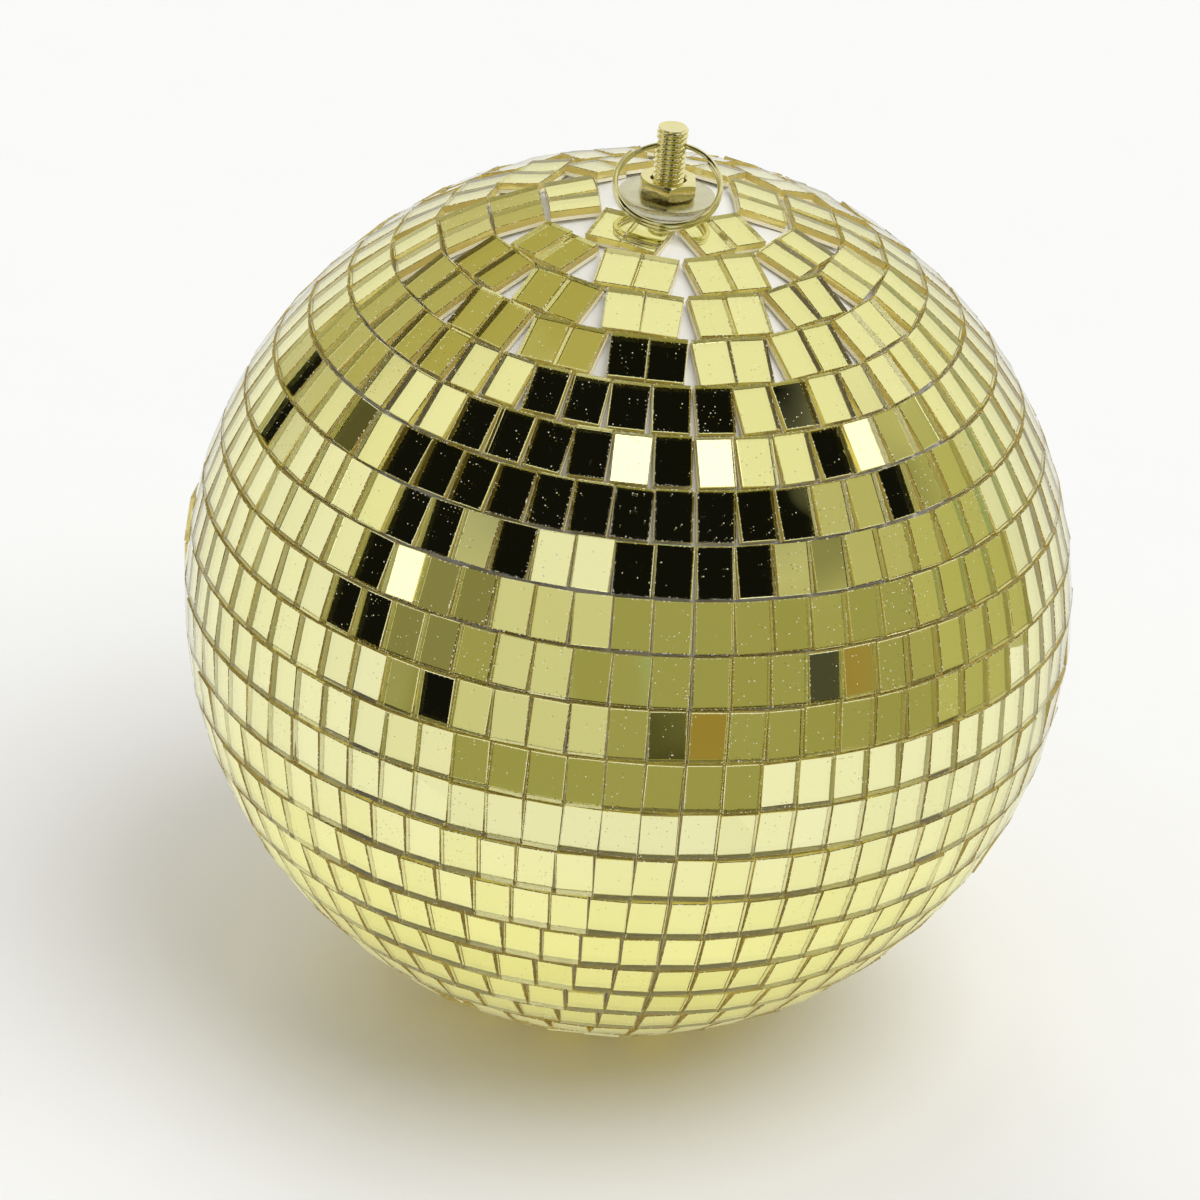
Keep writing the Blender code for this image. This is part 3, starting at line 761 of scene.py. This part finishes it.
def make_spring_washer(finish):
    """One turn of square wire with an open split, rising a little from end to end."""
    steps = 72
    thickness = spring_high.z - spring_low.z - WASHER_RISE
    build = bmesh.new()
    section = [(BORE_RADIUS, 0.0), (spring_high.x, 0.0), (spring_high.x, thickness),
               (BORE_RADIUS, thickness)]
    face = build.faces.new([build.verts.new((r, 0.0, spring_low.z + z)) for r, z in section])
    bmesh.ops.spin(build, geom=[face], cent=(0, 0, 0), axis=(0, 0, 1),
                   angle=math.tau - WASHER_SPLIT, steps=steps, dvec=(0, 0, WASHER_RISE / steps))
    bmesh.ops.recalc_face_normals(build, faces=build.faces[:])
    mesh = bpy.data.meshes.new("split_washer")
    build.to_mesh(mesh)
    build.free()
    shade(mesh, 40.0)
    stand_in(add_piece("split_washer", mesh, finish), "ball", "zinc_bright", "spring_washer")


# ---- Split ring ------------------------------------------------------------------
def wire_tree():
    """Geometry Nodes for a split ring: two turns of wire, side by side, and their crossover."""
    tree, size = new_tree(
        "two_turn_wire", "GeometryNodeTree",
        sockets("Float", "Ring Radius", "Wire Radius", "Coil Offset", "Crossover")
        + sockets("Int", "Points", "Sides") + sockets("Material", "Finish"),
        ("Wire", "NodeSocketGeometry"))
    index = add_node(tree, "GeometryNodeInputIndex").outputs[0]
    last = calc(tree, "SUBTRACT", size["Points"], 1.0)
    share = calc(tree, "SUBTRACT", calc(tree, "DIVIDE", index, last), 0.5)
    travel = calc(tree, "SUBTRACT", 2.0 * math.tau, calc(tree, "MULTIPLY", size["Crossover"], 2.0))
    past_middle = calc(tree, "MULTIPLY", share, travel)
    across = ramp(tree, calc(tree, "DIVIDE", past_middle, size["Crossover"]), -1.0, 1.0, -1.0, 1.0)
    side = calc(tree, "MULTIPLY", calc(tree, "SINE", calc(tree, "MULTIPLY", across, math.pi / 2)),
                size["Coil Offset"])
    drop = calc(tree, "SUBTRACT", calc(tree, "COSINE", past_middle), 1.0)
    reach = calc(tree, "MULTIPLY", size["Ring Radius"], calc(tree, "SINE", past_middle))
    place = point_at(tree, reach, calc(tree, "MULTIPLY", size["Ring Radius"], drop), side)
    path = line_of(tree, size["Points"], place)
    curve = add_node(tree, "GeometryNodeMeshToCurve", {"Mesh": path}).outputs[0]
    section = add_node(tree, "GeometryNodeCurvePrimitiveCircle",
                       {"Resolution": size["Sides"], "Radius": size["Wire Radius"]},
                       mode="RADIUS").outputs[0]
    tube = add_node(tree, "GeometryNodeCurveToMesh",
                    {"Curve": curve, "Profile Curve": section, "Fill Caps": True}).outputs[0]
    return end_tree(tree, set_finish(tree, tube, size["Finish"]))


def make_ring(finish):
    mesh = grown("wire_ring", wire_tree(), {
        "Ring Radius": RING_DIAMETER / 2, "Wire Radius": WIRE_DIAMETER / 2,
        "Coil Offset": COIL_OFFSET, "Crossover": CROSSOVER, "Points": WIRE_POINTS,
        "Sides": WIRE_SIDES, "Finish": finish})
    mesh.transform(Matrix.Translation(HOLE) @ Matrix.Rotation(RING_REST, 4, "X"))
    shade(mesh, 40.0)
    stand_in(add_piece("wire_ring", mesh), "ring", "ring_steel", "split_ring")


# ---- Studio ----------------------------------------------------------------------
CAMERA_ELEVATION = math.radians(27.5)
CAMERA_ROLL = math.radians(5.5)
CAMERA_DISTANCE = 1078.0 * MM
CAMERA_LENS = 168.0
AIM_LEFT = 5.5 * MM                       # the camera aims this far left of the ball's centre
AIM_BELOW = 1.5 * MM
FLOOR_Z = cad_box[0][2] - 0.1 * MM        # just below the ball
MIRRORED_FLOOR_Z = FLOOR_Z - 0.1 * MM
FLOOR_REACH = 4.0
FLOOR_FRONT, FLOOR_STEP_FRONT = -0.16, -0.26  # where the mirrored floor ends, toward the camera
FLOOR_STEP, FLOOR_SIDE = 0.09, 0.34           # where it steps forward on the right, and its side
ROOM = (0.90, 0.90, 0.90, 1.0)                # behind all of the room's cards
SOFT_LIGHT = (0.60, 0.60, 0.60, 1.0)          # what lights everything that isn't a mirror
BACKDROP = (0.94, 0.94, 0.94, 1.0)            # what the camera sees behind the ball
# Painted light on the glowing floor sheet that the tiles show: an even glow away from the ball, a
# painted pool of gold light near it, painted shade under it, and a painted dim tone for light
# bounced back.
PAPER_LIGHT = (0.95, 0.95, 0.95, 1.0)         # the floor in the mirrors, away from the ball,
GOLD_LIT_PAPER = (0.98, 0.96, 0.60, 1.0)      # near it, in the light that it throws,
FOOT_SHADE = (0.60, 0.55, 0.28, 1.0)          # under it,
SHADED_PAPER = (0.46, 0.37, 0.08, 1.0)        # and as the floor sees it by the mirrors
GOLD_LIT_EDGES = (0.06, 0.17)                 # distances from the ball's middle between which
FOOT_SHADE_EDGES = (0.02, 0.085)              # the gold light and the shade fade out


def add_camera():
    """Camera in front and above, rolled a little, so that the ball's axis leans to the right."""
    data = bpy.data.cameras.new("camera")
    data.lens = CAMERA_LENS
    data.sensor_width = 36.0
    data.clip_end = 20.0
    camera = bpy.data.objects.new("camera", data)
    bpy.context.scene.collection.objects.link(camera)
    back = Vector((0.0, -math.cos(CAMERA_ELEVATION), math.sin(CAMERA_ELEVATION)))
    level_right = Vector((1.0, 0.0, 0.0))
    level_up = back.cross(level_right)
    right = level_right * math.cos(CAMERA_ROLL) + level_up * math.sin(CAMERA_ROLL)
    up = back.cross(right)
    place = back * CAMERA_DISTANCE
    aim = -right * AIM_LEFT - up * AIM_BELOW
    back = (place - aim).normalized()
    right = (right - back * right.dot(back)).normalized()
    up = back.cross(right)
    turned = Matrix((right, up, back)).transposed().to_4x4()
    camera.matrix_world = Matrix.Translation(place) @ turned
    bpy.context.scene.camera = camera


WALL = (0.36, 0.345, 0.14)
DARK = (0.006, 0.006, 0.005)
PALE = (0.67, 0.66, 0.47)
# What stands round the studio, as flat cards, each one laid over those before it. In degrees:
# azimuth from the camera to its right and elevation of the card's middle, half its width, half
# its height and its soft edge. Then its colour.
ROOM_CARDS = (
    ("warm_walls", 0.0, 52.0, 190.0, 42.0, 20.0, (0.90, 0.89, 0.72)),
    ("upper_left_wall", -135.0, 45.0, 30.0, 26.0, 6.0, (0.46, 0.41, 0.15)),
    ("far_left_wall", -130.0, 16.0, 10.0, 18.0, 6.0, (0.52, 0.49, 0.26)),
    ("wall", 30.0, 0.0, 88.0, 28.0, 2.0, WALL),
    ("wall_right", 80.0, 27.0, 32.0, 13.0, 5.0, (0.52, 0.50, 0.27)),
    ("wall_light_side", 102.0, 3.0, 18.0, 24.0, 8.0, (0.50, 0.485, 0.21)),
    ("pale_foot", -49.0, -21.0, 9.0, 6.0, 1.0, (0.86, 0.85, 0.78)),
    ("low_left", -110.0, -15.0, 5.0, 4.0, 1.5, WALL),
    ("shade_left", -48.0, 2.0, 9.0, 20.0, 1.5, (0.25, 0.235, 0.11)),
    ("pale_door", -20.5, 7.0, 15.5, 21.0, 1.0, PALE),
    ("dark_slot", -68.0, 12.0, 9.5, 17.0, 1.0, DARK),
    ("slot_lamp", -62.0, 16.0, 4.0, 5.0, 0.8, (1.5, 1.5, 1.4)),
    ("low_dark", -43.0, -9.0, 4.5, 7.0, 0.8, DARK),
    ("green_card", 7.5, 9.0, 3.5, 6.0, 0.8, (0.33, 0.53, 0.36)),
    ("brown_box", 25.0, -6.0, 5.0, 5.0, 2.5, (0.34, 0.24, 0.06)),
    ("brown_box_right", 56.0, 4.0, 4.5, 6.0, 2.0, (0.36, 0.22, 0.05)),
    ("dark_box", 47.0, 4.0, 5.0, 6.0, 1.5, (0.07, 0.07, 0.05)),
    ("dark_foot", 14.0, -8.0, 5.0, 4.0, 2.5, DARK),
    ("dark_ceiling", -13.0, 53.0, 71.0, 24.5, 1.5, DARK),
    ("dark_ceiling_top", -58.0, 76.0, 47.0, 7.0, 1.5, DARK),
    ("zenith", 0.0, 86.0, 190.0, 6.0, 1.0, DARK),
    ("ceiling_gap", -18.0, 34.0, 12.0, 6.5, 1.0, (0.90, 0.90, 0.88)),
    ("dark_right_high", 96.0, 63.0, 9.0, 6.0, 3.0, DARK),
    ("dark_right_middle", 82.0, 48.0, 8.0, 6.0, 3.0, DARK),
    ("dark_right", 95.0, 29.0, 7.0, 6.0, 2.0, DARK),
    ("dark_left", -128.0, 3.0, 6.0, 6.0, 2.0, DARK),
    ("dark_left_high", -103.0, 24.0, 6.0, 5.0, 4.0, (0.10, 0.09, 0.04)),
    ("lamp_high", -8.0, 60.0, 7.0, 5.0, 1.0, (1.7, 1.7, 1.7)),
    ("lamp_high_right", 43.0, 61.0, 8.0, 5.0, 1.0, (1.7, 1.7, 1.7)),
    ("lamp_right", 93.0, 40.0, 8.0, 4.0, 1.0, (1.6, 1.6, 1.55)),
)


def room_card_group():
    """Shader group that lays one flat card of a colour over the room behind it."""
    tree, values = new_tree(
        "room_card", "ShaderNodeTree",
        sockets("Float", "Azimuth", "Elevation", "Middle Azimuth", "Middle Elevation",
                "Half Width", "Half Height", "Edge") + sockets("Color", "Card", "Room"),
        ("Room", "NodeSocketColor"))
    cover = 1.0
    for angle, middle, half in (("Azimuth", "Middle Azimuth", "Half Width"),
                                ("Elevation", "Middle Elevation", "Half Height")):
        away = calc(tree, "ABSOLUTE", calc(tree, "SUBTRACT", values[angle], values[middle]))
        inside = calc(tree, "DIVIDE", calc(tree, "SUBTRACT", values[half], away), values["Edge"])
        cover = calc(tree, "MULTIPLY", cover, ramp(tree, inside, -0.5, 0.5))
    return end_tree(tree, mix_colour(tree, cover, values["Room"], values["Card"]))


def light_room():
    """Mirrors see the room's cards, the camera a plain backdrop, and the rest a soft light."""
    world = bpy.data.worlds.new("studio")
    bpy.context.scene.world = world
    world.use_nodes = True
    tree = world.node_tree
    tree.nodes.clear()
    axes = axes_of(tree, add_node(tree, "ShaderNodeTexCoord").outputs["Generated"])
    to_degrees = 180.0 / math.pi
    azimuth = calc(tree, "MULTIPLY", to_degrees,
                   calc(tree, "ARCTAN2", axes["X"], calc(tree, "MULTIPLY", axes["Y"], -1.0)))
    elevation = calc(tree, "MULTIPLY", to_degrees, calc(tree, "ARCSINE", axes["Z"]))
    group = room_card_group()
    room = ROOM
    for name, middle, height, half_width, half_height, edge, colour in ROOM_CARDS:
        card = add_node(tree, "ShaderNodeGroup", node_tree=group, label=name)
        for label, value in (("Azimuth", azimuth), ("Elevation", elevation), ("Room", room),
                             ("Middle Azimuth", middle), ("Middle Elevation", height),
                             ("Half Width", half_width), ("Half Height", half_height),
                             ("Edge", edge), ("Card", (*colour, 1.0))):
            put(tree, card.inputs[label], value)
        room = card.outputs[0]
    ray = add_node(tree, "ShaderNodeLightPath").outputs
    soft = mix_colour(tree, ray["Is Diffuse Ray"], room, SOFT_LIGHT)
    colour = mix_colour(tree, ray["Is Camera Ray"], soft, BACKDROP)
    background = add_node(tree, "ShaderNodeBackground", {"Color": colour, "Strength": 1.0})
    add_node(tree, "ShaderNodeOutputWorld", {"Surface": background.outputs[0]})


def add_sheet(name, outline, z, material, seen_in_mirrors):
    """A flat sheet that only mirrors and glass see, or that everything but them sees."""
    mesh = bpy.data.meshes.new(name)
    build = bmesh.new()
    build.faces.new([build.verts.new((x, y, z)) for x, y in outline])
    build.to_mesh(mesh)
    build.free()
    sheet = add_piece(name, mesh, material)
    sheet.visible_glossy = sheet.visible_transmission = seen_in_mirrors
    sheet.visible_camera = sheet.visible_diffuse = sheet.visible_shadow = not seen_in_mirrors


def painted_light_paper():
    """A glowing sheet of painted light, the paper as the tiles show it: white, a painted pool of
    gold light near the ball and painted shade under it. Light that comes back to the floor by the
    tiles meets a painted dim tone that stands in for the ball's shade."""
    material = bpy.data.materials.new("painted_light_paper")
    material.use_nodes = True
    tree = material.node_tree
    tree.nodes.clear()
    place = object_place(tree)
    level = vector_calc(tree, "MULTIPLY", place, (1.0, 1.0, 0.0))
    away = add_node(tree, "ShaderNodeVectorMath", {0: level}, operation="LENGTH").outputs["Value"]
    # Painted pool of gold light near the ball, then painted shade under it.
    golden = mix_colour(tree, ramp(tree, away, *GOLD_LIT_EDGES), GOLD_LIT_PAPER, PAPER_LIGHT)
    lit = mix_colour(tree, ramp(tree, away, *FOOT_SHADE_EDGES), FOOT_SHADE, golden)
    # Painted dim tone for rays that left the floor, standing in for the ball's shade.
    bounced = add_node(tree, "ShaderNodeLightPath").outputs["Diffuse Depth"]
    shown = mix_colour(tree, ramp(tree, bounced, 0.0, 1.0), lit, SHADED_PAPER)
    glow = add_node(tree, "ShaderNodeEmission", {"Color": shown, "Strength": 1.0})
    add_node(tree, "ShaderNodeOutputMaterial", {"Surface": glow.outputs[0]})
    return material


def add_floor():
    """Pale floor, and the part of it that shows in the tiles, a glowing sheet of painted light that
    ends at the paper's front.
    """
    material, tree, shader = new_finish("floor_paper", Roughness=0.8)
    tree.links.new(mix_colour(tree, noise(tree, object_place(tree), 40.0),
                              (0.895, 0.895, 0.895, 1.0), (0.905, 0.905, 0.905, 1.0)),
                   shader.inputs["Base Color"])
    reach = FLOOR_REACH
    add_sheet("floor", [(-reach, -reach), (reach, -reach), (reach, reach), (-reach, reach)],
              FLOOR_Z, material, seen_in_mirrors=False)
    add_sheet("floor_in_mirrors",
              [(-reach, FLOOR_FRONT), (FLOOR_STEP, FLOOR_FRONT), (FLOOR_STEP, FLOOR_STEP_FRONT),
               (FLOOR_SIDE, FLOOR_STEP_FRONT), (FLOOR_SIDE, reach), (-reach, reach)],
              MIRRORED_FLOOR_Z, painted_light_paper(), seen_in_mirrors=True)


def add_sun(name, azimuth, elevation, spread, energy):
    """Soft light from far away, in degrees from the camera to its right and above level."""
    data = bpy.data.lights.new(name, "SUN")
    data.energy = energy
    data.angle = math.radians(spread)
    sun = bpy.data.objects.new(name, data)
    bpy.context.scene.collection.objects.link(sun)
    across, up = math.radians(azimuth), math.radians(elevation)
    toward = Vector((math.sin(across) * math.cos(up), -math.cos(across) * math.cos(up),
                     math.sin(up)))
    sun.rotation_euler = toward.to_track_quat("Z", "Y").to_euler()
    sun.visible_glossy = False
    sun.visible_transmission = False


view = bpy.context.scene.view_settings
view.view_transform = "Standard"
light_paths = bpy.context.scene.cycles
light_paths.blur_glossy = 0.0             # keep light that reaches the floor by the mirrors
light_paths.max_bounces = 20
light_paths.glossy_bounces = 10
light_paths.transmission_bounces = 14
add_camera()
light_room()
add_floor()
add_sun("key", azimuth=58.0, elevation=62.0, spread=45.0, energy=1.4)
add_sun("fill", azimuth=-165.0, elevation=35.0, spread=30.0, energy=0.48)

tile_finishes = {"Glass Finish": tile_glass(), "Side Finish": cut_edge(),
                 "Mirror Finish": tile_mirror(), "Backing Finish": strip_backing()}
zinc_yellow = plated("zinc_yellow", (0.80, 0.73, 0.38), (0.93, 0.88, 0.58), 0.15, 700.0)
zinc_bright = plated("zinc_bright", (0.62, 0.60, 0.49), (0.72, 0.70, 0.58), 0.28, 700.0)
lay_strips(tile_finishes)
mould_core(white_moulding())
make_bolt(zinc_yellow)
make_nut(zinc_yellow)
make_washers(zinc_bright)
make_spring_washer(zinc_bright)
make_ring(plated("ring_steel", (0.70, 0.64, 0.34), (0.88, 0.83, 0.56), 0.12, 1200.0))
lay_bottom_patch(tile_finishes)
